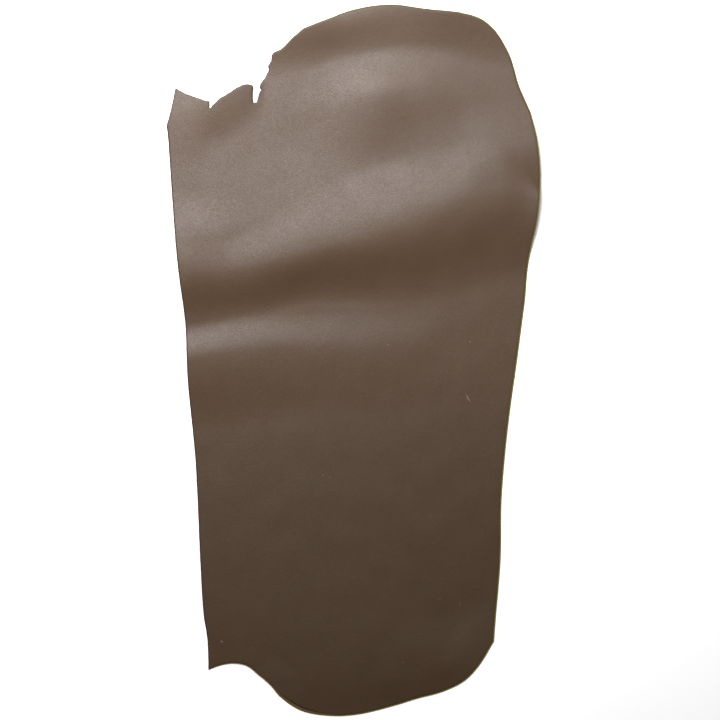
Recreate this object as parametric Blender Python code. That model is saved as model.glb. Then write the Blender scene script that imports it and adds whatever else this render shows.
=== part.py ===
"""A leather hide: one whole piece of leather with a cut edge, laid out grain side up.

Metres, +Z up.  +Y runs to the neck end and +X to the belly edge.  The origin is under the middle
of the hide's box, in the plane that the hide rests on.  The butt half lies on that plane, but for
a low swell before its end.  Across the neck half the leather stands in soft folds, and it
touches down between them.
"""

from collections import namedtuple
from math import cos, pi, radians, sqrt

import bpy
from mathutils import Vector
from mathutils.geometry import delaunay_2d_cdt
from mathutils.kdtree import KDTree

THICKNESS = 0.0025          # leather, grain to flesh side
EDGE_STEP = 0.015           # longest side of the rim along the long cut edges
TORN_STEP = 0.005           # the same where the neck end is torn and notched
FOLD_GRID = 0.020           # spacing of the surface's points where the hide is folded
FLAT_GRID = 0.032           # and where it lies flat
FOLD_ZONE = -0.080          # the folded half reaches down to this y
RIM_CLEARANCE = 0.55        # grid points stay this share of a spacing away from the rim
SMOOTH_ANGLE = 40           # degrees; the cut edge is sharper than this

LEATHER_COLOUR = (0.060, 0.040, 0.026, 1.0)
LEATHER_ROUGHNESS = 0.48

# The outline, counter-clockwise from the tip of the spine-side flap.  Each stretch is one smooth
# curve through its points (x, y).  It ends in a corner, where the next stretch starts.
FLAP_SIDE = (
    (-0.356, 0.546), (-0.360, 0.525), (-0.369, 0.484),
)
SPINE_EDGE = (
    (-0.369, 0.484), (-0.373, 0.472), (-0.371, 0.450), (-0.364, 0.350), (-0.351, 0.200),
    (-0.336, 0.070), (-0.330, -0.050), (-0.316, -0.200), (-0.306, -0.410), (-0.300, -0.505),
    (-0.292, -0.560), (-0.290, -0.618),
)
BUTT_HOLLOW = (
    (-0.290, -0.618), (-0.265, -0.609), (-0.240, -0.605), (-0.213, -0.610), (-0.190, -0.628),
    (-0.168, -0.647), (-0.150, -0.669),
)
BUTT_END = (
    (-0.150, -0.669), (-0.126, -0.688), (-0.098, -0.702), (-0.045, -0.710), (0.010, -0.707),
    (0.080, -0.690), (0.125, -0.676), (0.180, -0.661), (0.222, -0.640), (0.250, -0.611),
    (0.281, -0.561),
)
FLANK_EDGE = (
    (0.281, -0.561), (0.284, -0.520), (0.294, -0.400), (0.296, -0.280), (0.302, -0.200),
    (0.313, -0.100), (0.327, 0.000), (0.341, 0.106),
)
BELLY_EDGE = (
    (0.341, 0.106), (0.343, 0.122), (0.350, 0.200), (0.367, 0.285), (0.373, 0.370),
    (0.367, 0.440), (0.354, 0.496),
)
NECK_SIDE = (
    (0.354, 0.496), (0.330, 0.553), (0.316, 0.602), (0.303, 0.629), (0.290, 0.650),
    (0.275, 0.667), (0.256, 0.681), (0.235, 0.689), (0.210, 0.695),
)
NECK_END = (
    (0.210, 0.695), (0.140, 0.702), (0.072, 0.710), (0.000, 0.700), (-0.050, 0.682),
    (-0.099, 0.663),
)
NECK_SHOULDER = (
    (-0.099, 0.663), (-0.120, 0.646), (-0.145, 0.622), (-0.159, 0.616), (-0.164, 0.611),
)
TORN_EDGE = (
    (-0.164, 0.611), (-0.164, 0.602), (-0.170, 0.590), (-0.170, 0.580), (-0.180, 0.561),
    (-0.187, 0.553), (-0.188, 0.547), (-0.184, 0.541),
)
NOTCH_SIDE = (
    (-0.184, 0.541), (-0.188, 0.537), (-0.190, 0.531), (-0.193, 0.517),
)
NOTCH_FLOOR = (
    (-0.193, 0.517), (-0.200, 0.516),
)
MIDDLE_FLAP = (
    (-0.200, 0.516), (-0.201, 0.534), (-0.200, 0.546), (-0.204, 0.551), (-0.216, 0.552),
    (-0.232, 0.546), (-0.250, 0.534), (-0.268, 0.523), (-0.287, 0.504),
)
SPLIT_SIDE = (
    (-0.287, 0.504), (-0.288, 0.511), (-0.286, 0.518),
)
SPINE_FLAP = (
    (-0.286, 0.518), (-0.298, 0.520), (-0.319, 0.528), (-0.338, 0.535), (-0.356, 0.546),
)
LONG_STRETCHES = (
    FLAP_SIDE, SPINE_EDGE, BUTT_HOLLOW, BUTT_END, FLANK_EDGE, BELLY_EDGE, NECK_SIDE, NECK_END,
)
TORN_STRETCHES = (
    NECK_SHOULDER, TORN_EDGE, NOTCH_SIDE, NOTCH_FLOOR, MIDDLE_FLAP, SPLIT_SIDE, SPINE_FLAP,
)

# The folds.  A row is a section through the fold at x: the y of its crest, its height, and how
# far its two slopes reach, towards the neck end and towards the butt end.
Section = namedtuple("Section", "x crest height neckward buttward")
MAIN_RIDGE = (
    Section(-0.360, 0.160, 0.0090, 0.285, 0.112),
    Section(-0.219, 0.190, 0.0105, 0.262, 0.107),
    Section(-0.145, 0.208, 0.0120, 0.255, 0.110),
    Section(-0.079, 0.229, 0.0128, 0.252, 0.120),
    Section(0.035, 0.256, 0.0130, 0.247, 0.146),
    Section(0.120, 0.281, 0.0128, 0.225, 0.170),
    Section(0.215, 0.315, 0.0125, 0.205, 0.195),
    Section(0.293, 0.332, 0.0116, 0.195, 0.190),
    Section(0.370, 0.334, 0.0100, 0.190, 0.180),
)
RIDGE_LIP = (
    Section(-0.360, 0.168, 0.0015, 0.070, 0.110),
    Section(-0.270, 0.178, 0.0025, 0.065, 0.107),
    Section(-0.219, 0.189, 0.0045, 0.075, 0.105),
    Section(-0.145, 0.208, 0.0058, 0.095, 0.109),
    Section(-0.079, 0.228, 0.0068, 0.120, 0.114),
    Section(0.035, 0.255, 0.0088, 0.142, 0.142),
    Section(0.120, 0.280, 0.0094, 0.142, 0.164),
    Section(0.215, 0.314, 0.0092, 0.130, 0.180),
    Section(0.293, 0.328, 0.0072, 0.120, 0.175),
    Section(0.340, 0.328, 0.0060, 0.078, 0.165),
    Section(0.375, 0.320, 0.0078, 0.040, 0.150),
)
SPINE_SHOULDER = (
    Section(-0.365, 0.225, 0.0080, 0.120, 0.140),
    Section(-0.300, 0.226, 0.0058, 0.120, 0.135),
    Section(-0.215, 0.232, 0.0004, 0.120, 0.120),
    Section(-0.130, 0.250, 0.0000, 0.120, 0.110),
)
NECK_RIDGE = (
    Section(-0.170, 0.480, 0.0000, 0.110, 0.150),
    Section(-0.070, 0.500, 0.0026, 0.100, 0.150),
    Section(0.040, 0.530, 0.0124, 0.095, 0.156),
    Section(0.120, 0.537, 0.0102, 0.100, 0.160),
    Section(0.200, 0.528, 0.0064, 0.100, 0.155),
    Section(0.280, 0.512, 0.0030, 0.090, 0.135),
    Section(0.340, 0.510, 0.0010, 0.080, 0.110),
)
NECK_RIM = (
    Section(-0.165, 0.704, 0.0172, 0.100, 0.140),
    Section(-0.090, 0.702, 0.0168, 0.080, 0.127),
    Section(-0.015, 0.697, 0.0126, 0.060, 0.094),
    Section(0.080, 0.726, 0.0150, 0.100, 0.122),
    Section(0.190, 0.741, 0.0192, 0.100, 0.147),
    Section(0.320, 0.722, 0.0140, 0.100, 0.140),
)
SPINE_RIDGE = (
    Section(-0.345, 0.000, 0.0104, 0.072, 0.150),
    Section(-0.240, 0.017, 0.0082, 0.072, 0.155),
    Section(-0.110, 0.026, 0.0052, 0.072, 0.145),
    Section(0.060, 0.022, 0.0035, 0.080, 0.130),
    Section(0.200, 0.030, 0.0000, 0.080, 0.120),
)
SPLIT_RIDGE = (
    Section(-0.375, 0.480, 0.0015, 0.060, 0.100),
    Section(-0.330, 0.500, 0.0035, 0.060, 0.110),
    Section(-0.287, 0.530, 0.0065, 0.050, 0.115),
    Section(-0.235, 0.568, 0.0080, 0.050, 0.125),
    Section(-0.205, 0.580, 0.0060, 0.050, 0.120),
    Section(-0.178, 0.590, 0.0000, 0.050, 0.110),
)
BELLY_RIDGE = (
    Section(0.170, 0.396, 0.0000, 0.150, 0.076),
    Section(0.215, 0.408, 0.0008, 0.148, 0.078),
    Section(0.270, 0.424, 0.0034, 0.138, 0.083),
    Section(0.335, 0.436, 0.0068, 0.125, 0.090),
    Section(0.375, 0.438, 0.0074, 0.120, 0.092),
)
BUTT_RIDGE = (
    Section(-0.300, -0.560, 0.0000, 0.250, 0.060),
    Section(-0.180, -0.610, 0.0018, 0.280, 0.075),
    Section(-0.060, -0.632, 0.0024, 0.280, 0.075),
    Section(0.060, -0.632, 0.0024, 0.200, 0.070),
    Section(0.140, -0.618, 0.0026, 0.120, 0.070),
    Section(0.200, -0.590, 0.0026, 0.100, 0.075),
    Section(0.250, -0.555, 0.0014, 0.100, 0.080),
    Section(0.290, -0.520, 0.0000, 0.100, 0.080),
)
FOLDS = (
    MAIN_RIDGE, RIDGE_LIP, SPINE_SHOULDER, NECK_RIDGE, NECK_RIM, SPINE_RIDGE, SPLIT_RIDGE,
    BELLY_RIDGE, BUTT_RIDGE,
)


def clear_scene():
    """Remove every object that the file opened with."""
    for scene_object in list(bpy.data.objects):
        bpy.data.objects.remove(scene_object, do_unlink=True)


def leather():
    """Plain dark brown leather."""
    material = bpy.data.materials.new("leather")
    material.use_nodes = True
    shader = material.node_tree.nodes["Principled BSDF"]
    shader.inputs["Base Color"].default_value = LEATHER_COLOUR
    shader.inputs["Roughness"].default_value = LEATHER_ROUGHNESS
    shader.inputs["Metallic"].default_value = 0.0
    material.diffuse_color = LEATHER_COLOUR
    return material


def smooth_curve(before, start, end, after, share):
    """A point between start and end on the centripetal curve through all four points."""
    knots = [0.0]
    for here, there in ((before, start), (start, end), (end, after)):
        knots.append(knots[-1] + sqrt((there - here).length))
    k0, k1, k2, k3 = knots
    k = k1 + (k2 - k1) * share
    a1 = (before * (k1 - k) + start * (k - k0)) / (k1 - k0)
    a2 = (start * (k2 - k) + end * (k - k1)) / (k2 - k1)
    a3 = (end * (k3 - k) + after * (k - k2)) / (k3 - k2)
    b1 = (a1 * (k2 - k) + a2 * (k - k0)) / (k2 - k0)
    b2 = (a2 * (k3 - k) + a3 * (k - k1)) / (k3 - k1)
    return (b1 * (k2 - k) + b2 * (k - k1)) / (k2 - k1)


def stretch_points(stretch, step):
    """Points along one smooth stretch, no further apart than step, without its last one."""
    points = [Vector(point) for point in stretch]
    lead_in = points[0] * 2 - points[1]
    lead_out = points[-1] * 2 - points[-2]
    framed = [lead_in, *points, lead_out]
    walked = []
    for index in range(1, len(framed) - 2):
        before, start, end, after = framed[index - 1:index + 3]
        pieces = max(1, round((end - start).length / step))
        for piece in range(pieces):
            walked.append(smooth_curve(before, start, end, after, piece / pieces))
    return walked


def outline():
    """The whole rim, counter-clockwise."""
    rim = []
    for stretches, step in ((LONG_STRETCHES, EDGE_STEP), (TORN_STRETCHES, TORN_STEP)):
        for stretch in stretches:
            rim.extend(stretch_points(stretch, step))
    return rim


def is_inside(rim, x, y):
    """Whether a point lies inside the rim, by counting the sides to its right."""
    inside = False
    last = rim[-1]
    for point in rim:
        if (point.y > y) != (last.y > y):
            crossing = point.x + (y - point.y) * (last.x - point.x) / (last.y - point.y)
            if x < crossing:
                inside = not inside
        last = point
    return inside


def surface_grid(rim):
    """Points in staggered rows inside the rim, closer together where the hide is folded."""
    rim_tree = KDTree(len(rim))
    for index, point in enumerate(rim):
        rim_tree.insert((point.x, point.y, 0.0), index)
    rim_tree.balance()
    left = min(point.x for point in rim)
    right = max(point.x for point in rim)
    top = max(point.y for point in rim)
    grid = []
    y = min(point.y for point in rim)
    row = 0
    while y < top:
        spacing = FOLD_GRID if y > FOLD_ZONE else FLAT_GRID
        x = left + spacing * (0.25 + 0.5 * (row % 2))
        while x < right:
            gap = rim_tree.find((x, y, 0.0))[2]
            if gap > spacing * RIM_CLEARANCE and is_inside(rim, x, y):
                grid.append(Vector((x, y)))
            x += spacing
        y += spacing * sqrt(3) / 2
        row += 1
    return grid


def section_at(fold, x):
    """The fold's section at x: a smooth blend of the rows on either side."""
    x = min(max(x, fold[0].x), fold[-1].x)
    index = 0
    while index < len(fold) - 2 and x > fold[index + 1].x:
        index += 1
    start, end = fold[index], fold[index + 1]
    before = fold[max(index - 1, 0)]
    after = fold[min(index + 2, len(fold) - 1)]
    span = end.x - start.x
    t = (x - start.x) / span
    blended = []
    for column in range(len(Section._fields)):
        slope_in = (end[column] - before[column]) / (end.x - before.x) * span
        slope_out = (after[column] - start[column]) / (after.x - start.x) * span
        value = start[column] * (2 * t**3 - 3 * t**2 + 1) + end[column] * (3 * t**2 - 2 * t**3)
        value += slope_in * (t**3 - 2 * t**2 + t) + slope_out * (t**3 - t**2)
        blended.append(value)
    return Section(*blended)


def bell(distance, reach):
    """One at no distance, and falling softly to nothing at reach."""
    if abs(distance) >= reach:
        return 0.0
    return (1 + cos(pi * distance / reach)) / 2


def fold_height(fold, x, y):
    """How high one fold carries the leather."""
    section = section_at(fold, x)
    distance = y - section.crest
    reach = section.neckward if distance > 0 else section.buttward
    return max(section.height, 0.0) * bell(distance, reach)


def surface_height(x, y):
    """Height of the hide's flesh side over the plane that it rests on."""
    return sum(fold_height(fold, x, y) for fold in FOLDS)


def build_hide(material):
    """The hide: its flesh side is meshed from the outline, and the leather is built up on it."""
    rim = outline()
    points = rim + surface_grid(rim)
    whole = [list(range(len(rim)))]
    inside_only = 1
    merge_distance = 0.00001
    meshed = delaunay_2d_cdt(points, [], whole, inside_only, merge_distance)
    corners, triangles = meshed[0], meshed[2]
    raised = [(point.x, point.y, surface_height(point.x, point.y)) for point in corners]
    mesh = bpy.data.meshes.new("hide")
    mesh.from_pydata(raised, [], triangles)
    mesh.materials.append(material)
    mesh.shade_smooth()
    mesh.set_sharp_from_angle(angle=radians(SMOOTH_ANGLE))
    hide = bpy.data.objects.new("hide", mesh)
    bpy.context.scene.collection.objects.link(hide)
    leather_body = hide.modifiers.new("leather", "SOLIDIFY")
    leather_body.thickness = THICKNESS
    leather_body.offset = 1.0
    leather_body.use_even_offset = True
    return hide


def main():
    clear_scene()
    build_hide(leather())


main()
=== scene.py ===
"""A leather hide, laid out grain side up on a plain pale floor.

Metres, +Z up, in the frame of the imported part: +Y runs to the neck end and +X to the belly edge.
The hide is one closed mesh with three finishes: the dyed grain side, the cut edge round it, and
the suede of the flesh side.  The outline and the folds are those of the part, meshed finely.
"""

from collections import namedtuple
from math import radians, sin, sqrt

import bpy
import numpy as np
from bpy.props import FloatProperty, FloatVectorProperty, IntProperty, PointerProperty
from bpy.types import Operator, Panel, PropertyGroup
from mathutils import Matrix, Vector
from mathutils.geometry import delaunay_2d_cdt
from mathutils.kdtree import KDTree
from mathutils.noise import noise


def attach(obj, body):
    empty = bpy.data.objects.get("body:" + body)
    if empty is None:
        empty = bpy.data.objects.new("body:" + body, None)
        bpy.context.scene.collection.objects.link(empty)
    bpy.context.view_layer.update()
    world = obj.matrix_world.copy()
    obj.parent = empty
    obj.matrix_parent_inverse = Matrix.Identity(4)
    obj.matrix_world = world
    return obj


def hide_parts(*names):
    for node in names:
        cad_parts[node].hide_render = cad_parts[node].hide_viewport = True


bl_info = {
    "name": "Leather hide",
    "version": (1, 0, 0),
    "blender": (4, 5, 0),
    "location": "3D View > Sidebar > Leather hide",
    "description": "A whole leather hide, laid out grain side up, on a plain studio floor",
    "category": "Add Mesh",
}

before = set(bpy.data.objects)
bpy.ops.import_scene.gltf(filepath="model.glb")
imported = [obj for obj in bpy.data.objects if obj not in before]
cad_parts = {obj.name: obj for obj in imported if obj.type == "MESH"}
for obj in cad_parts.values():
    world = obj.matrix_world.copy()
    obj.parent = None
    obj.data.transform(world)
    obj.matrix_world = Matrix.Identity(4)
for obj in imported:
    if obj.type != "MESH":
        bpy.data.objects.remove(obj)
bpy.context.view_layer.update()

FRINGE = 0.0002             # loose fibres reach this far past the rim on the flesh side
FRINGE_ABOVE = 0.6          # the share of that reach one ring higher
SHARP_ANGLE = 50            # degrees; the edge between the grain and the cut is sharper
NUDGE = 0.0005              # how far to each side the slope of the folds is measured
GRAIN, CUT, FLESH = 0, 1, 2
MAP_NAME = "OFBake"         # the square map that the mesh is laid out on
MAP_SIDE = 1.540            # metres of leather across it

# Widths of the patterns in the finishes.
DRIFT = 0.240               # the dye, lighter on one part of the hide than on another
BLOTCH = 0.050
SPECK = 0.0028
WARP = 0.006                # what bends the borders between the pebbles
GROWTH = 0.022              # the swellings whose middle heights are the growth lines
CUT_TUFT = 0.0016
CUT_LAYER = 0.0025
CUT_PATCH = 0.035
NAP_BRUSH = 0.060
NAP_FIBRE = 0.0012
NAP_VEIN = 0.080

# Depths of those patterns.
WARP_SHIFT = 0.0012
GROWTH_DEPTH = 0.0002
LINE_DEPTH = 0.00006
SPECK_DEPTH = 0.0001
CUT_DEPTH = 0.0003
VEIN_DEPTH = 0.0003
FIBRE_DEPTH = 0.0004

# The outline, counter-clockwise from the tip of the spine-side flap.  Each stretch is one smooth
# curve through its points (x, y).  It ends in a corner, where the next stretch starts.
FLAP_SIDE = (
    (-0.356, 0.546), (-0.360, 0.525), (-0.369, 0.484),
)
SPINE_EDGE = (
    (-0.369, 0.484), (-0.373, 0.472), (-0.371, 0.450), (-0.364, 0.350), (-0.351, 0.200),
    (-0.336, 0.070), (-0.330, -0.050), (-0.316, -0.200), (-0.306, -0.410), (-0.300, -0.505),
    (-0.292, -0.560), (-0.290, -0.618),
)
BUTT_HOLLOW = (
    (-0.290, -0.618), (-0.265, -0.609), (-0.240, -0.605), (-0.213, -0.610), (-0.190, -0.628),
    (-0.168, -0.647), (-0.150, -0.669),
)
BUTT_END = (
    (-0.150, -0.669), (-0.126, -0.688), (-0.098, -0.702), (-0.045, -0.710), (0.010, -0.707),
    (0.080, -0.690), (0.125, -0.676), (0.180, -0.661), (0.222, -0.640), (0.250, -0.611),
    (0.281, -0.561),
)
FLANK_EDGE = (
    (0.281, -0.561), (0.284, -0.520), (0.294, -0.400), (0.296, -0.280), (0.302, -0.200),
    (0.313, -0.100), (0.327, 0.000), (0.341, 0.106),
)
BELLY_EDGE = (
    (0.341, 0.106), (0.343, 0.122), (0.350, 0.200), (0.367, 0.285), (0.373, 0.370),
    (0.367, 0.440), (0.354, 0.496),
)
NECK_SIDE = (
    (0.354, 0.496), (0.330, 0.553), (0.316, 0.602), (0.303, 0.629), (0.290, 0.650),
    (0.275, 0.667), (0.256, 0.681), (0.235, 0.689), (0.210, 0.695),
)
NECK_END = (
    (0.210, 0.695), (0.140, 0.702), (0.072, 0.710), (0.000, 0.700), (-0.050, 0.682),
    (-0.099, 0.663),
)
NECK_SHOULDER = (
    (-0.099, 0.663), (-0.120, 0.646), (-0.145, 0.622), (-0.159, 0.616), (-0.164, 0.611),
)
TORN_EDGE = (
    (-0.164, 0.611), (-0.164, 0.602), (-0.170, 0.590), (-0.170, 0.580), (-0.180, 0.561),
    (-0.187, 0.553), (-0.188, 0.547), (-0.184, 0.541),
)
NOTCH_SIDE = (
    (-0.184, 0.541), (-0.188, 0.537), (-0.190, 0.531), (-0.193, 0.517),
)
NOTCH_FLOOR = (
    (-0.193, 0.517), (-0.200, 0.516),
)
MIDDLE_FLAP = (
    (-0.200, 0.516), (-0.201, 0.534), (-0.200, 0.546), (-0.204, 0.551), (-0.216, 0.552),
    (-0.232, 0.546), (-0.250, 0.534), (-0.268, 0.523), (-0.287, 0.504),
)
SPLIT_SIDE = (
    (-0.287, 0.504), (-0.288, 0.511), (-0.286, 0.518),
)
SPINE_FLAP = (
    (-0.286, 0.518), (-0.298, 0.520), (-0.319, 0.528), (-0.338, 0.535), (-0.356, 0.546),
)
TORN_STRETCHES = (
    NECK_SHOULDER, TORN_EDGE, NOTCH_SIDE, NOTCH_FLOOR, MIDDLE_FLAP, SPLIT_SIDE, SPINE_FLAP,
)

# The folds.  A row is a section through the fold at x: the y of its crest, its height, and how
# far its two slopes reach, towards the neck end and towards the butt end.
Section = namedtuple("Section", "x crest height neckward buttward")
MAIN_RIDGE = (
    Section(-0.360, 0.160, 0.0090, 0.285, 0.112),
    Section(-0.219, 0.190, 0.0105, 0.262, 0.107),
    Section(-0.145, 0.208, 0.0120, 0.255, 0.110),
    Section(-0.079, 0.229, 0.0128, 0.252, 0.120),
    Section(0.035, 0.256, 0.0130, 0.247, 0.146),
    Section(0.120, 0.281, 0.0128, 0.225, 0.170),
    Section(0.215, 0.315, 0.0125, 0.205, 0.195),
    Section(0.293, 0.332, 0.0116, 0.195, 0.190),
    Section(0.370, 0.334, 0.0100, 0.190, 0.180),
)
RIDGE_LIP = (
    Section(-0.360, 0.168, 0.0015, 0.070, 0.110),
    Section(-0.270, 0.178, 0.0025, 0.065, 0.107),
    Section(-0.219, 0.189, 0.0045, 0.075, 0.105),
    Section(-0.145, 0.208, 0.0058, 0.095, 0.109),
    Section(-0.079, 0.228, 0.0068, 0.120, 0.114),
    Section(0.035, 0.255, 0.0088, 0.142, 0.142),
    Section(0.120, 0.280, 0.0094, 0.142, 0.164),
    Section(0.215, 0.314, 0.0092, 0.130, 0.180),
    Section(0.293, 0.328, 0.0072, 0.120, 0.175),
    Section(0.340, 0.328, 0.0060, 0.078, 0.165),
    Section(0.375, 0.320, 0.0078, 0.040, 0.150),
)
SPINE_SHOULDER = (
    Section(-0.365, 0.225, 0.0080, 0.120, 0.140),
    Section(-0.300, 0.226, 0.0058, 0.120, 0.135),
    Section(-0.215, 0.232, 0.0004, 0.120, 0.120),
    Section(-0.130, 0.250, 0.0000, 0.120, 0.110),
)
NECK_RIDGE = (
    Section(-0.170, 0.480, 0.0000, 0.110, 0.150),
    Section(-0.070, 0.500, 0.0026, 0.100, 0.150),
    Section(0.040, 0.530, 0.0124, 0.095, 0.156),
    Section(0.120, 0.537, 0.0102, 0.100, 0.160),
    Section(0.200, 0.528, 0.0064, 0.100, 0.155),
    Section(0.280, 0.512, 0.0030, 0.090, 0.135),
    Section(0.340, 0.510, 0.0010, 0.080, 0.110),
)
NECK_RIM = (
    Section(-0.165, 0.704, 0.0172, 0.100, 0.140),
    Section(-0.090, 0.702, 0.0168, 0.080, 0.127),
    Section(-0.015, 0.697, 0.0126, 0.060, 0.094),
    Section(0.080, 0.726, 0.0150, 0.100, 0.122),
    Section(0.190, 0.741, 0.0192, 0.100, 0.147),
    Section(0.320, 0.722, 0.0140, 0.100, 0.140),
)
SPINE_RIDGE = (
    Section(-0.345, 0.000, 0.0104, 0.072, 0.150),
    Section(-0.240, 0.017, 0.0082, 0.072, 0.155),
    Section(-0.110, 0.026, 0.0052, 0.072, 0.145),
    Section(0.060, 0.022, 0.0035, 0.080, 0.130),
    Section(0.200, 0.030, 0.0000, 0.080, 0.120),
)
SPLIT_RIDGE = (
    Section(-0.375, 0.480, 0.0015, 0.060, 0.100),
    Section(-0.330, 0.500, 0.0035, 0.060, 0.110),
    Section(-0.287, 0.530, 0.0065, 0.050, 0.115),
    Section(-0.235, 0.568, 0.0080, 0.050, 0.125),
    Section(-0.205, 0.580, 0.0060, 0.050, 0.120),
    Section(-0.178, 0.590, 0.0000, 0.050, 0.110),
)
BELLY_RIDGE = (
    Section(0.170, 0.396, 0.0000, 0.150, 0.076),
    Section(0.215, 0.408, 0.0008, 0.148, 0.078),
    Section(0.270, 0.424, 0.0034, 0.138, 0.083),
    Section(0.335, 0.436, 0.0068, 0.125, 0.090),
    Section(0.375, 0.438, 0.0074, 0.120, 0.092),
)
BUTT_RIDGE = (
    Section(-0.300, -0.560, 0.0000, 0.250, 0.060),
    Section(-0.180, -0.610, 0.0018, 0.280, 0.075),
    Section(-0.060, -0.632, 0.0024, 0.280, 0.075),
    Section(0.060, -0.632, 0.0024, 0.200, 0.070),
    Section(0.140, -0.618, 0.0026, 0.120, 0.070),
    Section(0.200, -0.590, 0.0026, 0.100, 0.075),
    Section(0.250, -0.555, 0.0014, 0.100, 0.080),
    Section(0.290, -0.520, 0.0000, 0.100, 0.080),
)
FOLDS = (
    MAIN_RIDGE, RIDGE_LIP, SPINE_SHOULDER, NECK_RIDGE, NECK_RIM, SPINE_RIDGE, SPLIT_RIDGE,
    BELLY_RIDGE, BUTT_RIDGE,
)

# How each stretch of the rim was cut: how far the cut slopes back under the grain, how far its
# line wanders, how dark the cut has been dyed, and how pale its fibres are shown, which is partly
# their raw colour and partly painted light on the stretches that face away from the lamp.
Cut = namedtuple("Cut", "stretch slope wander dye pale")
CUTS = (
    Cut(FLAP_SIDE, 0.0006, 0.0002, 1.0, 0.0),
    Cut(SPINE_EDGE, 0.0016, 0.0002, 1.0, 0.0),
    Cut(BUTT_HOLLOW, 0.0022, 0.00006, 0.0, 0.8),
    Cut(BUTT_END, 0.0028, 0.00006, 0.0, 1.0),
    Cut(FLANK_EDGE, 0.0026, 0.00006, 0.0, 1.0),
    Cut(BELLY_EDGE, 0.0024, 0.00006, 0.0, 0.7),
    Cut(NECK_SIDE, 0.0024, 0.0003, 0.0, 0.3),
    Cut(NECK_END, 0.0024, 0.0002, 0.0, 0.0),
    Cut(NECK_SHOULDER, 0.0020, 0.0003, 0.1, 0.0),
    Cut(TORN_EDGE, 0.0012, 0.0009, 0.8, 0.0),
    Cut(NOTCH_SIDE, 0.0008, 0.0004, 0.8, 0.0),
    Cut(NOTCH_FLOOR, 0.0010, 0.0003, 0.2, 0.0),
    Cut(MIDDLE_FLAP, 0.0014, 0.0005, 0.0, 0.0),
    Cut(SPLIT_SIDE, 0.0008, 0.0003, 0.5, 0.0),
    Cut(SPINE_FLAP, 0.0014, 0.0005, 0.0, 0.2),
)

# Where the rim was pared down to a broad slope, along the corner of the butt end.
Paring = namedtuple("Paring", "x y reach slope")
BUTT_PARING = Paring(-0.110, -0.692, 0.080, 0.0080)

# The rings from the grain side round the cut edge to the flesh side: how far in from the rim, as
# a share of the cut's slope and in metres more, and how high up the leather.
Ring = namedtuple("Ring", "slope_share inset height")
RINGS = (
    Ring(1.00, 0.0022, 1.00),
    Ring(1.00, 0.0011, 0.98),
    Ring(1.00, 0.0004, 0.93),
    Ring(1.00, 0.0000, 0.82),
    Ring(0.84, 0.0000, 0.66),
    Ring(0.00, 0.0000, 0.32),
    Ring(0.00, 0.0002, 0.06),
    Ring(0.00, 0.0012, 0.00),
)
GRAIN_RINGS = 3             # the grain side rolls over the first rings' strips

# Marks on the grain, each with a soft edge.  The first seven are broad patches of painted light
# and painted shade: a painted shade over the butt half, a painted highlight on the neck and five
# patches of painted light.  The others are flecks, a pit and a scratch.  The tone is how much of
# the bare colour shows in a mark or, below zero, of the deep colour.
Mark = namedtuple("Mark", "x y length width angle tone")
MARK_FADES = (0.45, 1.05)   # from here to here, in half lengths and half widths
MARKS = (
    # painted shade over the butt half, then a painted highlight on the neck and patches of painted
    # light
    Mark(0.050, -0.440, 1.300, 1.000, 0, -0.24),
    Mark(0.065, 0.568, 0.240, 0.095, 14, 0.034),
    Mark(0.030, 0.672, 0.360, 0.090, 0, 0.028),
    Mark(-0.335, 0.480, 0.120, 0.100, 60, 0.035),
    Mark(-0.350, 0.210, 0.160, 0.070, 90, 0.035),
    Mark(0.240, -0.560, 0.200, 0.110, 50, 0.055),
    Mark(-0.150, -0.635, 0.140, 0.080, -40, 0.035),
    Mark(0.229, -0.075, 0.021, 0.0022, -61, 0.75),
    Mark(-0.263, -0.561, 0.007, 0.0028, -40, 0.90),
    Mark(-0.259, -0.333, 0.005, 0.0050, 0, -0.45),
    Mark(-0.137, 0.399, 0.003, 0.0030, 0, 0.60),
    Mark(0.233, 0.038, 0.004, 0.0025, 30, 0.50),
    Mark(0.069, 0.032, 0.003, 0.0025, 0, 0.45),
    Mark(-0.061, -0.229, 0.004, 0.0025, 20, 0.50),
    Mark(-0.047, -0.233, 0.003, 0.0025, 0, 0.40),
    Mark(0.173, -0.475, 0.003, 0.0025, 0, 0.45),
    Mark(0.213, -0.487, 0.004, 0.0025, 60, 0.45),
    Mark(0.099, -0.603, 0.003, 0.0025, 0, 0.45),
)


class HideSizes(PropertyGroup):
    """Sizes of the leather and of its mesh."""

    thickness: FloatProperty(
        name="Thickness", description="Leather, grain to flesh side",
        default=0.0025, min=0.001, unit="LENGTH",
    )
    grain_step: FloatProperty(
        name="Grain step", description="Spacing of the mesh on the grain side",
        default=0.0044, min=0.002, unit="LENGTH",
    )
    flesh_step: FloatProperty(
        name="Flesh step", description="Spacing of the mesh on the flesh side",
        default=0.0085, min=0.002, unit="LENGTH",
    )
    edge_step: FloatProperty(
        name="Edge step", description="Spacing along the long cut edges",
        default=0.0032, min=0.001, unit="LENGTH",
    )
    torn_step: FloatProperty(
        name="Torn step", description="Spacing along the torn and notched neck end",
        default=0.0014, min=0.001, unit="LENGTH",
    )
    swell: FloatProperty(
        name="Swell", description="Height of the low swells that leather dries into",
        default=0.0004, min=0.0, unit="LENGTH",
    )
    swell_width: FloatProperty(
        name="Swell width", description="How broad those swells are",
        default=0.060, min=0.005, unit="LENGTH",
    )
    edge_seed: IntProperty(
        name="Edge seed", description="Picks another wandering line for the cuts",
        default=7,
    )


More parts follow.
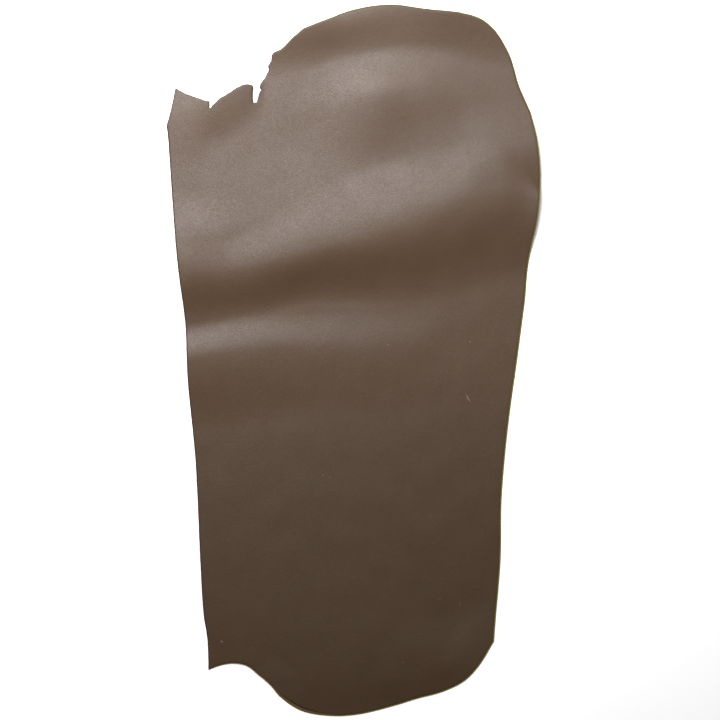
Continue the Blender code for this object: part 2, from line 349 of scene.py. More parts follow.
class GrainFinish(PropertyGroup):
    """The dyed grain side."""

    colour: FloatVectorProperty(
        name="Colour", description="Dye of the grain side",
        subtype="COLOR", default=(0.0572, 0.0306, 0.0131), min=0.0, max=1.0,
    )
    # Also laid on as the broad painted shade over the butt half, and darker towards the rim.
    deep_and_painted_shade_colour: FloatVectorProperty(
        name="Deep colour", description="Dye where it lies thicker, in pores and valleys",
        subtype="COLOR", default=(0.025, 0.0135, 0.0062), min=0.0, max=1.0,
    )
    # Also laid on as the broad patches of painted light and the painted highlight on the neck.
    bare_and_painted_light_colour: FloatVectorProperty(
        name="Bare colour", description="Undyed leather in flecks, scratches and thin dye",
        subtype="COLOR", default=(0.23, 0.175, 0.13), min=0.0, max=1.0,
    )
    roughness: FloatProperty(
        name="Roughness", description="Finish of the grain side",
        subtype="FACTOR", default=0.486, min=0.0, max=1.0,
    )
    gloss: FloatProperty(
        name="Gloss", description="Strength of the finish's reflection",
        subtype="FACTOR", default=0.40, min=0.0, max=1.0,
    )
    gloss_colour: FloatVectorProperty(
        name="Gloss colour", description="Cool tint of the finish's reflection",
        subtype="COLOR", default=(0.89, 0.90, 0.945), min=0.0, max=1.0,
    )
    pebble: FloatProperty(
        name="Pebble", description="Width of one pebble of the grain",
        default=0.0013, min=0.0002, unit="LENGTH",
    )
    pebble_depth: FloatProperty(
        name="Pebble depth", description="Depth of the valleys between pebbles",
        default=0.00004, min=0.0, unit="LENGTH",
    )
    facet: FloatProperty(
        name="Facet", description="Width of one facet of the grain, which leans its own way",
        default=0.0017, min=0.0002, unit="LENGTH",
    )
    facet_tilt: FloatProperty(
        name="Facet tilt", description="How far the facets lean, from one side to the other",
        subtype="FACTOR", default=0.035, min=0.0, max=0.5,
    )
    facet_polish: FloatProperty(
        name="Facet polish", description="How much the roughness differs from facet to facet",
        subtype="FACTOR", default=0.09, min=0.0, max=0.5,
    )


class EdgeFinish(PropertyGroup):
    """The cut edge."""

    colour: FloatVectorProperty(
        name="Colour", description="Fibres of the cut",
        subtype="COLOR", default=(0.075, 0.062, 0.014), min=0.0, max=1.0,
    )
    # Pale raw fibres, and painted light on the cut edges that face away from the lamp.
    pale_and_painted_light_colour: FloatVectorProperty(
        name="Pale colour", description="Fibres of the cut where they have stayed pale",
        subtype="COLOR", default=(0.19, 0.155, 0.006), min=0.0, max=1.0,
    )
    core_colour: FloatVectorProperty(
        name="Core colour", description="Darker fibres in the middle of the cut",
        subtype="COLOR", default=(0.095, 0.058, 0.016), min=0.0, max=1.0,
    )
    # Also the colour of the painted shade along the top of the pared slope, under the grain.
    dyed_and_painted_shade_colour: FloatVectorProperty(
        name="Dyed colour", description="The cut where it is dyed dark",
        subtype="COLOR", default=(0.024, 0.013, 0.014), min=0.0, max=1.0,
    )


class FleshFinish(PropertyGroup):
    """The suede of the flesh side."""

    colour: FloatVectorProperty(
        name="Colour", description="Nap of the flesh side",
        subtype="COLOR", default=(0.150, 0.105, 0.068), min=0.0, max=1.0,
    )
    shade_colour: FloatVectorProperty(
        name="Shade colour", description="Nap that lies the other way",
        subtype="COLOR", default=(0.095, 0.064, 0.041), min=0.0, max=1.0,
    )
    sheen: FloatProperty(
        name="Sheen", description="Sheen of the nap",
        subtype="FACTOR", default=0.35, min=0.0, max=1.0,
    )


class StageSettings(PropertyGroup):
    """Floor, lamp and camera."""

    floor_colour: FloatVectorProperty(
        name="Floor colour", description="Plain pale floor",
        subtype="COLOR", default=(0.80, 0.80, 0.80), min=0.0, max=1.0,
    )
    floor_glow: FloatProperty(
        name="Floor glow", description="Light that the floor adds, to even out the lamp's",
        default=0.25, min=0.0,
    )
    floor_side: FloatProperty(
        name="Floor side", description="Side of the square floor",
        default=12.0, min=1.0, unit="LENGTH",
    )
    floor_drop: FloatProperty(
        name="Floor drop", description="Gap that keeps the floor off the suede",
        default=0.0003, min=0.0, unit="LENGTH",
    )
    lamp_place: FloatVectorProperty(
        name="Lamp place", description="Middle of the soft lamp",
        subtype="XYZ", unit="LENGTH", default=(-0.420, 1.300, 1.780),
    )
    lamp_width: FloatProperty(
        name="Lamp width", description="Width of the soft lamp",
        default=1.30, min=0.05, unit="LENGTH",
    )
    lamp_height: FloatProperty(
        name="Lamp height", description="Height of the soft lamp",
        default=1.15, min=0.05, unit="LENGTH",
    )
    lamp_power: FloatProperty(
        name="Lamp power", description="Power of the soft lamp, in watts",
        default=122.0, min=0.0,
    )
    ambience: FloatProperty(
        name="Ambience", description="Even light from all round",
        default=0.004, min=0.0,
    )
    horizon: FloatProperty(
        name="Horizon", description="More light from the band round the horizon",
        default=0.35, min=0.0,
    )
    horizon_reach: FloatProperty(
        name="Horizon reach", description="How far up that band fades out",
        default=radians(22), min=0.0, max=radians(90), subtype="ANGLE", unit="ROTATION",
    )
    camera_place: FloatVectorProperty(
        name="Camera place", description="The camera looks straight down from here",
        subtype="XYZ", unit="LENGTH", default=(0.013, 0.0015, 4.0),
    )
    view_width: FloatProperty(
        name="View width", description="Width of floor that the camera sees",
        default=1.440, min=0.1, unit="LENGTH",
    )


class Value:
    """One output of a tree's nodes.  Arithmetic on it adds the nodes that work it out."""

    def __init__(self, tree, socket):
        self.tree = tree
        self.socket = socket

    def worked(self, operation, *terms):
        """The result of a Math node, or of a Vector Math node where a term is no plain number."""
        sockets = [term.socket for term in terms if isinstance(term, Value)]
        if all(socket.type == "VALUE" for socket in sockets):
            kind = "ShaderNodeMath"
        else:
            kind = "ShaderNodeVectorMath"
        return self.tree.node(kind, {"operation": operation}, dict(enumerate(terms)))

    def __add__(self, other):
        return self.worked("ADD", self, other)

    def __radd__(self, other):
        return self.worked("ADD", other, self)

    def __sub__(self, other):
        return self.worked("SUBTRACT", self, other)

    def __rsub__(self, other):
        return self.worked("SUBTRACT", other, self)

    def __mul__(self, other):
        return self.worked("MULTIPLY", self, other)

    def __rmul__(self, other):
        return self.worked("MULTIPLY", other, self)

    def __abs__(self):
        return self.worked("ABSOLUTE", self)


class Tree:
    """The nodes of a material or of the world."""

    def __init__(self, owner):
        owner.use_nodes = True
        self.nodes = owner.node_tree.nodes
        self.links = owner.node_tree.links
        self.nodes.clear()

    def node(self, kind, settings=None, sockets=None, output=0):
        """Add a node: its settings come first, then the values or links of its sockets."""
        node = self.nodes.new(kind)
        for name, value in (settings or {}).items():
            setattr(node, name, value)
        for name, value in (sockets or {}).items():
            socket = node.inputs[name]
            if isinstance(value, Value):
                self.links.new(value.socket, socket)
            elif socket.type in ("RGBA", "VECTOR") and isinstance(value, (int, float)):
                socket.default_value = [value] * len(socket.default_value)
            elif socket.type == "RGBA":
                socket.default_value = (*value, 1.0)
            else:
                socket.default_value = value
        return Value(self, node.outputs[output]) if node.outputs else None

    def rise(self, value, low, high):
        """From 0 where value is low to 1 where it is high, with level ends."""
        return self.node(
            "ShaderNodeMapRange", {"interpolation_type": "SMOOTHSTEP"},
            {"Value": value, "From Min": low, "From Max": high},
        )

    def fall(self, value, low, high):
        """From 1 where value is low to 0 where it is high, with level ends."""
        return self.node(
            "ShaderNodeMapRange", {"interpolation_type": "SMOOTHSTEP"},
            {"Value": value, "From Min": low, "From Max": high, "To Min": 1.0, "To Max": 0.0},
        )


class Finish(Tree):
    """A material and the nodes that it is built from."""

    def __init__(self, name, colour):
        self.material = bpy.data.materials.new(name)
        self.material.diffuse_color = (*colour, 1.0)
        super().__init__(self.material)

    def place(self):
        """Where a point of the piece is, in metres."""
        return self.node("ShaderNodeTexCoord", output="Object")

    def named(self, attribute):
        """A number that the mesh carries."""
        return self.node(
            "ShaderNodeAttribute", {"attribute_name": attribute}, output="Fac"
        )

    def clouds(self, place, width, detail=2.0, roughness=0.5):
        """Soft noise from 0 to 1 whose patches are about width across."""
        return self.node(
            "ShaderNodeTexNoise", {"noise_dimensions": "3D"},
            {"Vector": place, "Scale": 1.0 / width, "Detail": detail, "Roughness": roughness},
        )

    def cells(self, place, width, feature="DISTANCE_TO_EDGE"):
        """Distance to the borders or middles of cells about width across, in cell widths."""
        return self.node(
            "ShaderNodeTexVoronoi", {"voronoi_dimensions": "3D", "feature": feature},
            {"Vector": place, "Scale": 1.0 / width, "Randomness": 0.9}, output="Distance",
        )

    def blend(self, share, without, full):
        """From one colour to another."""
        return self.node(
            "ShaderNodeMix", {"data_type": "RGBA"}, {0: share, 6: without, 7: full}, output=2
        )

    def bumped(self, height, depth, below=None):
        """A surface direction for a height from 0 to 1 that stands for depth metres."""
        sockets = {"Height": height, "Distance": depth, "Strength": 1.0}
        if below is not None:
            sockets["Normal"] = below
        return self.node("ShaderNodeBump", {}, sockets)

    def surface(self, **sockets):
        """Finish the material with a Principled shader."""
        named = {name.replace("_", " "): value for name, value in sockets.items()}
        shader = self.node("ShaderNodeBsdfPrincipled", {}, named)
        self.node("ShaderNodeOutputMaterial", {}, {"Surface": shader})
        return self.material


def grain_leather(finish_settings):
    """Smooth dyed grain: facets, pebbles, pores and faint growth lines under an uneven dye, with
    broad patches of painted light and painted shade.
    """
    dye = finish_settings
    leather = Finish("grain_leather", dye.colour)
    place = leather.place()
    drift = leather.clouds(place, DRIFT, detail=3.0)
    blotches = leather.clouds(place, BLOTCH, detail=4.0, roughness=0.55)
    specks = leather.clouds(place, SPECK)
    facets = leather.node(
        "ShaderNodeTexVoronoi", {"voronoi_dimensions": "3D", "feature": "F1"},
        {"Vector": place, "Scale": 1.0 / dye.facet, "Randomness": 1.0}, output="Color",
    )
    polish = leather.node("ShaderNodeSeparateXYZ", {}, {"Vector": facets}, output="X") - 0.5
    tone = 0.84 + 0.12 * drift + 0.12 * blotches + 0.08 * specks + 0.22 * polish

    warped = place + WARP_SHIFT * leather.clouds(place, WARP)
    pebble_edge = leather.cells(warped, dye.pebble)
    valleys = leather.fall(pebble_edge, 0.0, 0.22)
    pore_middle = leather.cells(place, dye.pebble * 2.3, feature="F1")
    pores = leather.fall(pore_middle, 0.05, 0.15)
    growth = leather.clouds(place, GROWTH, detail=3.0, roughness=0.6)
    lines = leather.fall(abs(growth - 0.5), 0.0, 0.025) * leather.rise(blotches, 0.45, 0.65)

    deep = 0.22 * valleys + 0.35 * pores + 0.08 * lines
    colour = leather.blend(deep, dye.colour, dye.deep_and_painted_shade_colour) * tone
    bare_and_painted_light = dark = 0.0
    # Each mark blends in the bare or the deep colour: the broad ones are painted light and painted
    # shade, the small ones are flecks, a pit and a scratch.
    for mark in MARKS:
        spot = leather.node(
            "ShaderNodeMapping", {"vector_type": "TEXTURE"},
            {
                "Vector": place * (1.0, 1.0, 0.0),
                "Location": (mark.x, mark.y, 0.0),
                "Rotation": (0.0, 0.0, radians(mark.angle)),
                "Scale": (mark.length / 2, mark.width / 2, 1.0),
            },
        )
        from_middle = leather.node(
            "ShaderNodeVectorMath", {"operation": "LENGTH"}, {0: spot}, output="Value"
        )
        mask = abs(mark.tone) * leather.fall(from_middle, *MARK_FADES)
        if mark.tone > 0:
            bare_and_painted_light = bare_and_painted_light + mask
        else:
            dark = dark + mask
    colour = leather.blend(bare_and_painted_light, colour, dye.bare_and_painted_light_colour)
    colour = leather.blend(dark, colour, dye.deep_and_painted_shade_colour)
    near_cut = leather.fall(leather.named("rim_distance"), 0.0005, 0.0060)
    colour = leather.blend(0.25 * near_cut, colour, dye.deep_and_painted_shade_colour)

    roughness = dye.roughness + 0.10 * (blotches - 0.5) + 0.05 * valleys
    roughness = roughness - 0.05 * (specks - 0.5) - dye.facet_polish * polish
    relief = leather.bumped(growth, GROWTH_DEPTH)
    relief = leather.bumped(lines, -LINE_DEPTH, relief)
    relief = leather.bumped(specks, SPECK_DEPTH, relief)
    relief = leather.bumped(1.0 - valleys - pores, dye.pebble_depth, relief)
    relief = relief + dye.facet_tilt * (facets - 0.5)
    return leather.surface(
        Base_Color=colour, Roughness=roughness, Normal=relief, Specular_IOR_Level=dye.gloss,
        Specular_Tint=dye.gloss_colour,
    )


def cut_leather(finish_settings):
    """The fibres of the cut: layered, olive-tan, paler on some stretches, partly as painted light
    where they face away from the lamp, dyed dark along some of the rim, and with a painted shade
    along the top of the pared slope.
    """
    cut = finish_settings
    leather = Finish("cut_leather", cut.colour)
    place = leather.place()
    tufts = leather.clouds(place, CUT_TUFT, detail=4.0, roughness=0.7)
    layers = leather.clouds(place * (1.0, 1.0, 6.0), CUT_LAYER, detail=3.0)
    patches = leather.clouds(place, CUT_PATCH)
    core = leather.rise(layers, 0.35, 0.70)
    # Paler fibres on some stretches: partly their raw colour, partly painted light where the rim
    # faces away from the lamp.
    colour = leather.blend(leather.named("pale"), cut.colour, cut.pale_and_painted_light_colour)
    colour = leather.blend(0.35 * core, colour, cut.core_colour) * (0.80 + 0.40 * patches)
    pared = leather.rise(leather.named("pared"), 0.0, 0.5)
    # Painted shade along the top of the pared slope, under the edge of the grain.
    painted_crease_shade = leather.rise(leather.named("up_the_cut"), 0.60, 0.85)
    colour = leather.blend(0.90 * pared, colour, cut.core_colour)
    colour = leather.blend(painted_crease_shade * leather.named("pared"), colour, cut.dyed_and_painted_shade_colour)
    colour = leather.blend(leather.named("dyed"), colour, cut.dyed_and_painted_shade_colour)
    relief = leather.bumped(layers, CUT_DEPTH)
    relief = leather.bumped(tufts, CUT_DEPTH, relief)
    return leather.surface(
        Base_Color=colour, Roughness=0.85 + 0.10 * tufts, Normal=relief, Specular_IOR_Level=0.2,
    )


def flesh_suede(finish_settings):
    """The suede of the flesh side: a short nap, brushed in patches."""
    nap = finish_settings
    suede = Finish("flesh_suede", nap.colour)
    place = suede.place()
    brushed = suede.clouds(place * (1.0, 0.5, 1.0), NAP_BRUSH, detail=4.0, roughness=0.6)
    fibres = suede.clouds(place, NAP_FIBRE, detail=4.0, roughness=0.75)
    veins = suede.fall(abs(suede.clouds(place, NAP_VEIN) - 0.5), 0.0, 0.012)
    lying = suede.rise(brushed, 0.38, 0.62)
    colour = suede.blend(lying, nap.colour, nap.shade_colour) * (0.80 + 0.40 * fibres)
    colour = suede.blend(0.35 * veins, colour, nap.shade_colour)
    relief = suede.bumped(veins, -VEIN_DEPTH)
    relief = suede.bumped(fibres, FIBRE_DEPTH, relief)
    return suede.surface(
        Base_Color=colour, Roughness=0.90 + 0.08 * fibres, Normal=relief,
        Specular_IOR_Level=0.15, Sheen_Weight=nap.sheen, Sheen_Roughness=0.6,
    )


def pale_floor(stage):
    """A plain pale floor."""
    floor = Finish("pale_floor", stage.floor_colour)
    return floor.surface(
        Base_Color=tuple(stage.floor_colour), Roughness=0.9, Specular_IOR_Level=0.1,
        Emission_Color=(1.0, 1.0, 1.0), Emission_Strength=stage.floor_glow,
    )


def soft_surround(stage):
    """Faint even light from above, over a pale band that lies round the horizon."""
    world = bpy.data.worlds.new("soft_surround")
    surround = Tree(world)
    towards = surround.node("ShaderNodeTexCoord", output="Generated")
    height = surround.node("ShaderNodeSeparateXYZ", {}, {"Vector": towards}, output="Z")
    band = surround.fall(abs(height), 0.0, sin(stage.horizon_reach))
    light = surround.node(
        "ShaderNodeBackground", {},
        {"Color": (1.0, 1.0, 1.0), "Strength": stage.ambience + stage.horizon * band},
    )
    surround.node("ShaderNodeOutputWorld", {}, {"Surface": light})
    return world


def smooth_curve(before, start, end, after, share):
    """A point between start and end on the centripetal curve through all four points."""
    knots = [0.0]
    for here, there in ((before, start), (start, end), (end, after)):
        knots.append(knots[-1] + sqrt((there - here).length))
    k0, k1, k2, k3 = knots
    k = k1 + (k2 - k1) * share
    a1 = (before * (k1 - k) + start * (k - k0)) / (k1 - k0)
    a2 = (start * (k2 - k) + end * (k - k1)) / (k2 - k1)
    a3 = (end * (k3 - k) + after * (k - k2)) / (k3 - k2)
    b1 = (a1 * (k2 - k) + a2 * (k - k0)) / (k2 - k0)
    b2 = (a2 * (k3 - k) + a3 * (k - k1)) / (k3 - k1)
    return (b1 * (k2 - k) + b2 * (k - k1)) / (k2 - k1)


def stretch_points(stretch, step):
    """Points along one smooth stretch, about step apart, without its last one."""
    points = [Vector(point) for point in stretch]
    lead_in = points[0] * 2 - points[1]
    lead_out = points[-1] * 2 - points[-2]
    framed = [lead_in, *points, lead_out]
    walked = []
    for index in range(1, len(framed) - 2):
        before, start, end, after = framed[index - 1:index + 3]
        pieces = max(1, round((end - start).length / step))
        for piece in range(pieces):
            walked.append(smooth_curve(before, start, end, after, piece / pieces))
    return walked


def softened(values, passes):
    """Values along the closed rim, each averaged with its neighbours a few times over."""
    for _ in range(passes):
        values = (np.roll(values, 1) + 2 * values + np.roll(values, -1)) / 4
    return values


def nearest_among(points):
    """A search tree that finds the nearest of some flat points."""
    tree = KDTree(len(points))
    for index, point in enumerate(points):
        tree.insert((point[0], point[1], 0.0), index)
    tree.balance()
    return tree


class Rim:
    """The line of the cut, counter-clockwise, with how it was cut at each of its points."""

    def __init__(self, sizes):
        points, cuts = [], []
        for cut in CUTS:
            step = sizes.torn_step if cut.stretch in TORN_STRETCHES else sizes.edge_step
            walked = stretch_points(cut.stretch, step)
            points.extend(walked)
            cuts.extend([cut] * len(walked))

        def of_cuts(name, passes=6):
            """A number of the cuts at every point, blended where one cut meets the next."""
            return softened(np.array([getattr(cut, name) for cut in cuts]), passes)

        line = np.array([point[:] for point in points])
        along = np.roll(line, -1, 0) - np.roll(line, 1, 0)
        along /= np.linalg.norm(along, axis=1)[:, None]
        self.inward = np.stack([-along[:, 1], along[:, 0]], 1)
        randoms = np.random.default_rng(sizes.edge_seed)
        wander = softened(randoms.normal(size=len(line)), 2)
        wander *= of_cuts("wander", 4)
        self.line = line + self.inward * wander[:, None]
        self.dye = of_cuts("dye")
        self.pale = of_cuts("pale")
        self.fringe = softened(randoms.uniform(0.0, 1.0, len(line)), 1)
        self.pared = bell(
            np.hypot(line[:, 0] - BUTT_PARING.x, line[:, 1] - BUTT_PARING.y), BUTT_PARING.reach
        )
        slope = of_cuts("slope")
        self.slope = slope + (BUTT_PARING.slope - slope) * self.pared
        self.room = self.room_inside()

    def room_inside(self):
        """The share of its inset that a ring can keep at each point without crossing itself."""
        least, clear, smaller = 0.05, 0.90, 0.85
        tree = nearest_among(self.line)
        deepest = self.slope + RINGS[0].inset
        room = np.ones(len(self.line))
        for index, point in enumerate(self.line):
            while room[index] > least:
                inset = deepest[index] * room[index]
                x, y = point + self.inward[index] * inset
                if tree.find((x, y, 0.0))[2] > clear * inset:
                    break
                room[index] *= smaller
        narrowest = np.minimum(room, np.minimum(np.roll(room, 1), np.roll(room, -1)))
        return softened(narrowest, 2)

    def ring(self, ring):
        """Where a ring runs, in from the rim."""
        inset = (self.slope * ring.slope_share + ring.inset) * self.room
        return self.line + self.inward * inset[:, None]


def grid_inside(line, step, clearance=0.6):
    """Points in staggered rows inside a closed line, and no closer to it than its clearance."""
    tree = nearest_among(line)
    ahead = np.roll(line, -1, 0)
    left, bottom = line.min(0)
    top = line[:, 1].max()
    grid = []
    rise = step * sqrt(3) / 2
    for row in range(1, int((top - bottom) / rise) + 1):
        y = bottom + row * rise
        crossed = (line[:, 1] > y) != (ahead[:, 1] > y)
        start, end = line[crossed], ahead[crossed]
        share = (y - start[:, 1]) / (end[:, 1] - start[:, 1])
        crossings = np.sort(start[:, 0] + share * (end[:, 0] - start[:, 0]))
        for enters, leaves in zip(crossings[::2], crossings[1::2]):
            first = int((enters - left) / step)
            last = int((leaves - left) / step) + 1
            for column in range(first, last + 1):
                x = left + step * (column + 0.5 * (row % 2))
                if enters < x < leaves and tree.find((x, y, 0.0))[2] > step * clearance:
                    grid.append((x, y))
    return np.array(grid)


def bell(distance, reach):
    """One at no distance, and falling softly to nothing at reach."""
    return np.where(np.abs(distance) < reach, (1 + np.cos(np.pi * distance / reach)) / 2, 0.0)


def sections_at(fold, x):
    """The fold's sections at every x: a smooth blend of the rows on either side."""
    rows = np.array(fold)
    x = np.clip(x, rows[0, 0], rows[-1, 0])
    index = np.clip(np.searchsorted(rows[:, 0], x) - 1, 0, len(fold) - 2)
    start, end = rows[index], rows[index + 1]
    before = rows[np.maximum(index - 1, 0)]
    after = rows[np.minimum(index + 2, len(fold) - 1)]
    span = end[:, :1] - start[:, :1]
    t = (x[:, None] - start[:, :1]) / span
    slope_in = (end - before) / (end[:, :1] - before[:, :1]) * span
    slope_out = (after - start) / (after[:, :1] - start[:, :1]) * span
    blended = start * (2 * t**3 - 3 * t**2 + 1) + end * (3 * t**2 - 2 * t**3)
    blended += slope_in * (t**3 - 2 * t**2 + t) + slope_out * (t**3 - t**2)
    return Section(*blended.T)


def fold_height(fold, x, y):
    """How high one fold carries the leather."""
    section = sections_at(fold, x)
    distance = y - section.crest
    reach = np.where(distance > 0, section.neckward, section.buttward)
    return np.maximum(section.height, 0.0) * bell(distance, reach)


def surface_height(x, y):
    """Height of the hide's flesh side over the floor."""
    return sum(fold_height(fold, x, y) for fold in FOLDS)


def leather_height(points, share, sizes):
    """Height of a layer of the leather over the floor: share 0 is the flesh side, 1 the grain."""
    x, y = points.T
    low = surface_height(x, y)
    slope_x = (surface_height(x + NUDGE, y) - surface_height(x - NUDGE, y)) / (2 * NUDGE)
    slope_y = (surface_height(x, y + NUDGE) - surface_height(x, y - NUDGE)) / (2 * NUDGE)
    upright = sizes.thickness * np.sqrt(1 + slope_x**2 + slope_y**2)
    swells = np.array([
        noise((along / sizes.swell_width, up / sizes.swell_width, 0.0)) for along, up in points
    ])
    return low + share * (upright + sizes.swell * swells)


def triangulated(line, grid):
    """Triangles over the inside of a line, by the indices of the line's points, then the grid's."""
    points = [Vector(point) for point in np.concatenate([line, grid])]
    inside_only = 1
    merge_distance = 0.000001
    meshed = delaunay_2d_cdt(points, [], [list(range(len(line)))], inside_only, merge_distance)
    corners, triangles, sources = meshed[0], meshed[2], meshed[3]
    if len(corners) != len(points):
        raise RuntimeError("the rim of the hide crosses itself or meets its own grid")
    return [[sources[corner][0] for corner in triangle] for triangle in triangles]


def ring_strip(first_above, first_below, count):
    """The faces between two rings of the cut edge."""
    strip = []
    for here in range(count):
        after = (here + 1) % count
        strip.append(
            (first_above + here, first_below + here, first_below + after, first_above + after)
        )
    return strip


def hide_mesh(sizes):
    """One closed mesh: the grain side, the cut edge in rings, and the flesh side."""
    rim = Rim(sizes)
    lines = [rim.ring(ring) for ring in RINGS]
    lines[-2] -= rim.inward * (FRINGE * rim.fringe)[:, None]
    lines[-3] -= rim.inward * (FRINGE * FRINGE_ABOVE * rim.fringe)[:, None]
    grain_grid = grid_inside(lines[0], sizes.grain_step)
    flesh_grid = grid_inside(lines[-1], sizes.flesh_step)
    on_rim = len(rim.line)

    layers = [(lines[0], 1.0), (grain_grid, 1.0)]
    layers += [(line, ring.height) for line, ring in zip(lines[1:], RINGS[1:])]
    layers += [(flesh_grid, 0.0)]
    points = np.concatenate([
        np.column_stack([flat, leather_height(flat, share, sizes)]) for flat, share in layers
    ])
    ring_starts = [0] + [
        on_rim * place + len(grain_grid) for place in range(1, len(RINGS))
    ]
    flesh_start = ring_starts[-1]

    faces = triangulated(lines[0], grain_grid)
    finishes = [GRAIN] * len(faces)
    for place in range(len(RINGS) - 1):
        strip = ring_strip(ring_starts[place], ring_starts[place + 1], on_rim)
        faces += strip
        finishes += [GRAIN if place < GRAIN_RINGS else CUT] * on_rim
    flesh = triangulated(lines[-1], flesh_grid)
    faces += [[flesh_start + corner for corner in reversed(triangle)] for triangle in flesh]
    finishes += [FLESH] * len(flesh)

    mesh = bpy.data.meshes.new("leather_hide")
    mesh.from_pydata(points.tolist(), [], faces)
    mesh.polygons.foreach_set("material_index", finishes)
    mesh.shade_smooth()
    mesh.set_sharp_from_angle(angle=radians(SHARP_ANGLE))
    carry(mesh, "rim_distance", rim_distances(rim, lines, grain_grid, flesh_grid))
    by_ring = {
        "up_the_cut": [ring.slope_share for ring in RINGS],
        "dyed": [rim.dye] * len(RINGS),
        "pale": [rim.pale] * len(RINGS),
        "pared": [rim.pared] * len(RINGS),
    }
    for name, values in by_ring.items():
        carry(mesh, name, around(rim, values, grain_grid, flesh_grid))
    lay_out_map(mesh, rim, points, ring_starts, finishes)
    return mesh


def around(rim, by_ring, grain_grid, flesh_grid):
    """A number for each point: one set of values by ring, and nothing on the two grids."""
    rings = [np.broadcast_to(values, len(rim.line)) for values in by_ring]
    return np.concatenate([
        rings[0], np.zeros(len(grain_grid)), *rings[1:], np.zeros(len(flesh_grid))
    ])


def rim_distances(rim, lines, grain_grid, flesh_grid):
    """How far each point lies in from the rim."""
    tree = nearest_among(rim.line)
    layers = [lines[0], grain_grid, *lines[1:], flesh_grid]
    return np.array([tree.find((x, y, 0.0))[2] for layer in layers for x, y in layer])


def carry(mesh, name, values):
    """Let the mesh carry a number for each point, for its finishes to read."""
    mesh.attributes.new(name, "FLOAT", "POINT").data.foreach_set("value", values)


def lay_out_map(mesh, rim, points, ring_starts, finishes):
    """A square map: the grain side with the cut unfolded round it, and beside it the flesh side."""
    on_rim = len(rim.line)
    unfolded = points[:, :2].copy()
    for place in range(1, len(RINGS)):
        above = slice(ring_starts[place - 1], ring_starts[place - 1] + on_rim)
        below = slice(ring_starts[place], ring_starts[place] + on_rim)
        length = np.linalg.norm(points[below] - points[above], axis=1)
        unfolded[below] = unfolded[above] - rim.inward * length[:, None]
    mirrored = points[:, :2] * (-1.0, 1.0)
    corner_points = np.zeros(len(mesh.loops), int)
    mesh.loops.foreach_get("vertex_index", corner_points)
    corner_counts = np.zeros(len(mesh.polygons), int)
    mesh.polygons.foreach_get("loop_total", corner_counts)
    on_flesh = np.repeat(np.array(finishes) == FLESH, corner_counts)
    places = np.where(
        on_flesh[:, None],
        mirrored[corner_points] + (MAP_SIDE * 0.75, MAP_SIDE * 0.5),
        unfolded[corner_points] + (MAP_SIDE * 0.25, MAP_SIDE * 0.5),
    )
    layer = mesh.uv_layers.new(name=MAP_NAME)
    layer.uv.foreach_set("vector", (places / MAP_SIDE).astype(np.float32).ravel())


class HIDE_OT_set_stage(Operator):
    """Lay the plain floor and set the soft lamp and the camera"""

    bl_idname = "hide.set_stage"
    bl_label = "Set stage"

    def execute(self, context):
        stage = context.scene.hide_stage
        half = stage.floor_side / 2
        drop = -stage.floor_drop
        floor_mesh = bpy.data.meshes.new("floor")
        floor_mesh.from_pydata(
            [(-half, -half, drop), (half, -half, drop), (half, half, drop), (-half, half, drop)],
            [], [(0, 1, 2, 3)],
        )
        floor_mesh.materials.append(pale_floor(stage))
        floor = bpy.data.objects.new("floor", floor_mesh)
        context.scene.collection.objects.link(floor)

        light = bpy.data.lights.new("soft_lamp", "AREA")
        light.shape = "RECTANGLE"
        light.size = stage.lamp_width
        light.size_y = stage.lamp_height
        light.energy = stage.lamp_power
        lamp = bpy.data.objects.new("soft_lamp", light)
        lamp.location = stage.lamp_place
        lamp.rotation_euler = (-Vector(stage.lamp_place)).to_track_quat("-Z", "Y").to_euler()
        context.scene.collection.objects.link(lamp)

        context.scene.world = soft_surround(stage)

        lens = bpy.data.cameras.new("camera")
        lens.sensor_width = 36.0
        lens.lens = lens.sensor_width * stage.camera_place[2] / stage.view_width
        camera = bpy.data.objects.new("camera", lens)
        camera.location = stage.camera_place
        context.scene.collection.objects.link(camera)
        context.scene.camera = camera
        context.scene.view_settings.view_transform = "Standard"
        return {"FINISHED"}


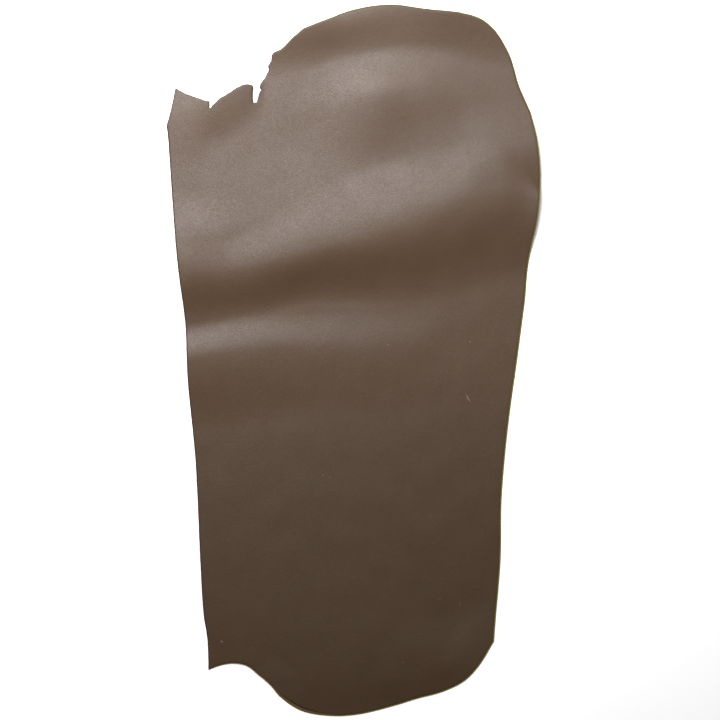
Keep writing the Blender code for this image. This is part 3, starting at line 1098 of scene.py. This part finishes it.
class HIDE_OT_lay_leather(Operator):
    """Build the finished leather hide in place of its plain solid"""

    bl_idname = "hide.lay_leather"
    bl_label = "Lay leather hide"

    def execute(self, context):
        scene = context.scene
        mesh = hide_mesh(scene.hide_sizes)
        mesh.materials.append(grain_leather(scene.hide_grain))
        mesh.materials.append(cut_leather(scene.hide_edge))
        mesh.materials.append(flesh_suede(scene.hide_flesh))
        hide = bpy.data.objects.new("leather_hide", mesh)
        scene.collection.objects.link(hide)
        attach(hide, "root")
        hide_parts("hide")
        return {"FINISHED"}


class HIDE_PT_sidebar(Panel):
    """The hide's sizes and finishes, and its operators"""

    bl_label = "Leather hide"
    bl_idname = "HIDE_PT_sidebar"
    bl_space_type = "VIEW_3D"
    bl_region_type = "UI"
    bl_category = "Leather hide"

    def draw(self, context):
        layout = self.layout
        for operator in OPERATORS:
            layout.operator(operator.bl_idname)
        for place, (name, group) in SETTINGS.items():
            box = layout.box()
            box.label(text=name)
            settings = getattr(context.scene, place)
            for setting in group.__annotations__:
                box.prop(settings, setting)


SETTINGS = {
    "hide_stage": ("Stage", StageSettings),
    "hide_sizes": ("Sizes", HideSizes),
    "hide_grain": ("Grain side", GrainFinish),
    "hide_edge": ("Cut edge", EdgeFinish),
    "hide_flesh": ("Flesh side", FleshFinish),
}
OPERATORS = (HIDE_OT_set_stage, HIDE_OT_lay_leather)


def register():
    for place, (_, group) in SETTINGS.items():
        bpy.utils.register_class(group)
        setattr(bpy.types.Scene, place, PointerProperty(type=group))
    for operator in OPERATORS:
        bpy.utils.register_class(operator)
    bpy.utils.register_class(HIDE_PT_sidebar)


def unregister():
    bpy.utils.unregister_class(HIDE_PT_sidebar)
    for operator in reversed(OPERATORS):
        bpy.utils.unregister_class(operator)
    for place, (_, group) in reversed(SETTINGS.items()):
        delattr(bpy.types.Scene, place)
        bpy.utils.unregister_class(group)


def main():
    register()
    bpy.ops.hide.set_stage()
    bpy.ops.hide.lay_leather()


if __name__ == "__main__":
    main()
